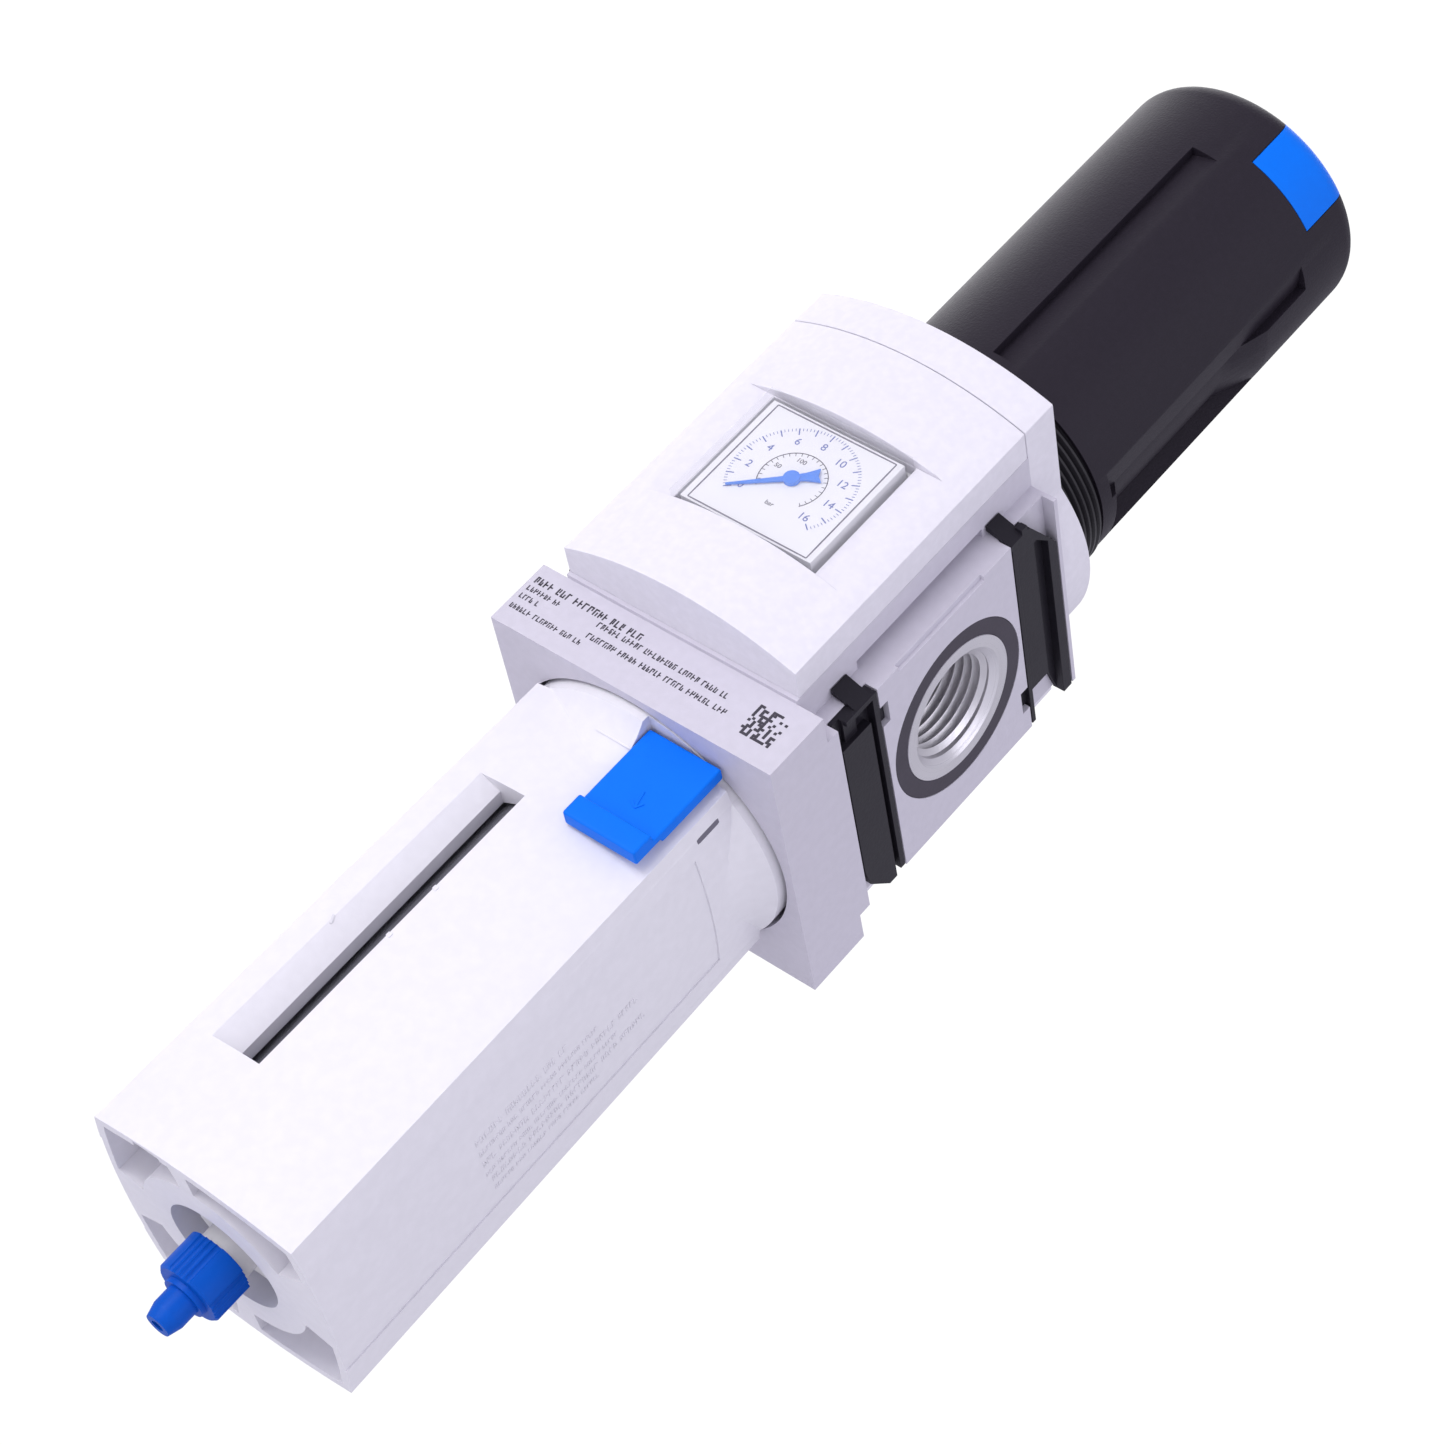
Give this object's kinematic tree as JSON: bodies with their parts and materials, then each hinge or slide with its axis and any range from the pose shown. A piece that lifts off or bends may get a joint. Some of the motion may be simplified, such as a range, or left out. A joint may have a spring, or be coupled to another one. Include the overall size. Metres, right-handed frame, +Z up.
{
  "type": "compressed air filter regulator",
  "caption": "Modular compressed-air filter-regulator: guarded filter bowl with a drain below, a square-windowed gauge in front, threaded side ports and a tall lockable setting knob on top",
  "frame": {"origin": "on the vertical axis of knob and bowl, at the top face of the head where the bracket thread starts", "axes": "+Z up towards the knob, +X towards the outlet port, -Y towards the gauge"},
  "size_m": [0.062, 0.0745, 0.3043],
  "materials": {
    "cast_white": "fine light grey powder coat over die-cast aluminium",
    "cover_white": "fine satin moulding",
    "guard_white": "satin moulding",
    "insert_white": "natural moulding",
    "dial_white": "printed matt dial",
    "filter_white": "porous sintered",
    "blue_plastic": "satin moulding",
    "clip_black": "satin moulding",
    "bonnet_black": "satin moulding",
    "knob_grey": "fine grained moulding",
    "clear_plastic": "clear polycarbonate",
    "seal_rubber": "matt",
    "steel": "bright zinc",
    "brass": "turned"
  },
  "bodies": {
    "head": {"housing": "cast_white", "front_cover": "cover_white", "top_cap": "cover_white", "back_cover": "cover_white", "back_cover_screws": "steel", "port_seal_outlet": "seal_rubber", "port_seal_inlet": "seal_rubber", "clip_outlet_upper": "clip_black", "clip_outlet_lower": "clip_black", "clip_inlet_upper": "clip_black", "clip_inlet_lower": "clip_black", "gauge_case": "cover_white", "gauge_dial": "dial_white", "gauge_window": "clear_plastic", "bonnet": "bonnet_black", "bonnet_screws": "steel", "main_spring": "steel", "diaphragm": "seal_rubber", "valve_seat": "brass", "valve_spring": "steel", "filter_holder": "insert_white", "swirl_ring": "insert_white", "filter_element": "filter_white", "filter_baffle": "insert_white"},
    "needle": {"gauge_needle": "blue_plastic"},
    "spindle": {"spindle": "steel"},
    "knob": {"knob": "knob_grey"},
    "lock_tab": {"lock_tab": "blue_plastic"},
    "spring_nut": {"spring_nut": "brass"},
    "valve": {"diaphragm_plate": "steel", "valve_stem": "brass"},
    "bowl": {"bowl": "clear_plastic", "bowl_seal": "seal_rubber", "drain_body": "insert_white", "drain_nut": "insert_white"},
    "guard": {"bowl_guard": "guard_white"},
    "release_slide": {"release_slide": "blue_plastic"},
    "drain_plunger": {"drain_plunger": "seal_rubber"},
    "drain_cap": {"drain_cap": "blue_plastic"}
  },
  "joints": [
    {"name": "knob_turn", "type": "hinge", "parent": "head", "child": "spindle", "pos_m": [0, 0, 0.07], "axis": [0, 0, 1], "range_deg": [-2880, 0]},
    {"name": "knob_lift", "type": "slide", "parent": "spindle", "child": "knob", "axis": [0, 0, 1], "range_m": [0, 0.003]},
    {"name": "tab_pull", "type": "slide", "parent": "knob", "child": "lock_tab", "axis": [0.7071, -0.7071, 0], "range_m": [0, 0.006]},
    {"name": "nut_travel", "type": "slide", "parent": "head", "child": "spring_nut", "axis": [0, 0, -1], "range_m": [0, 0.012], "deforming": ["main_spring"]},
    {"name": "valve_travel", "type": "slide", "parent": "head", "child": "valve", "axis": [0, 0, -1], "range_m": [0, 0.002], "stiffness_N_per_m": 4000, "deforming": ["valve_spring"]},
    {"name": "needle_turn", "type": "hinge", "parent": "head", "child": "needle", "pos_m": [0, -0.0412, -0.0398], "axis": [0, 1, 0], "range_deg": [0, 257]},
    {"name": "bowl_drop", "type": "slide", "parent": "head", "child": "bowl", "axis": [0, 0, -1], "range_m": [0, 0.09]},
    {"name": "guard_turn", "type": "hinge", "parent": "bowl", "child": "guard", "pos_m": [0, 0, -0.09], "axis": [0, 0, 1], "range_deg": [0, 30]},
    {"name": "slide_release", "type": "slide", "parent": "guard", "child": "release_slide", "axis": [0, 0, -1], "range_m": [0, 0.0045], "stiffness_N_per_m": 600},
    {"name": "drain_travel", "type": "slide", "parent": "bowl", "child": "drain_plunger", "axis": [0, 0, 1], "range_m": [0, 0.0015]},
    {"name": "drain_turn", "type": "hinge", "parent": "bowl", "child": "drain_cap", "pos_m": [0, 0, -0.2], "axis": [0, 0, 1], "range_deg": [0, 90]}
  ],
  "couplings": [
    {"joint": "nut_travel", "follows": "knob_turn", "m_per_rad": -0.0002387},
    {"joint": "drain_turn", "follows": "drain_travel", "rad_per_m": 1047}
  ]
}
